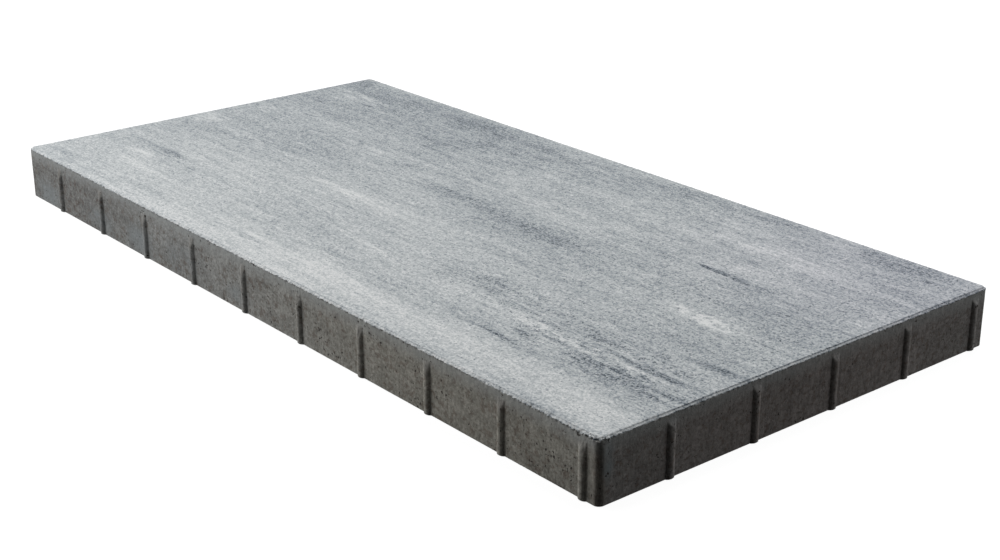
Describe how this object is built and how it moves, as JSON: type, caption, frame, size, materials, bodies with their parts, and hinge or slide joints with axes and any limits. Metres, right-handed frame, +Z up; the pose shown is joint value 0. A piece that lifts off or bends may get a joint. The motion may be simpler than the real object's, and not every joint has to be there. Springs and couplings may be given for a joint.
{
  "type": "concrete paving slab",
  "caption": "Flat rectangular paving slab of pressed concrete, with a low lip round its walking face, rounded upright corners and round spacer nibs.",
  "frame": {"origin": "centre of the underside, on the bed that the slab lies on", "axes": "+X along the length, +Y across the width, +Z up through the walking face"},
  "size_m": [1.0024, 0.5024, 0.06],
  "materials": {
    "pressed_concrete": "matte"
  },
  "bodies": {
    "root": {"slab": "pressed_concrete"}
  },
  "joints": []
}
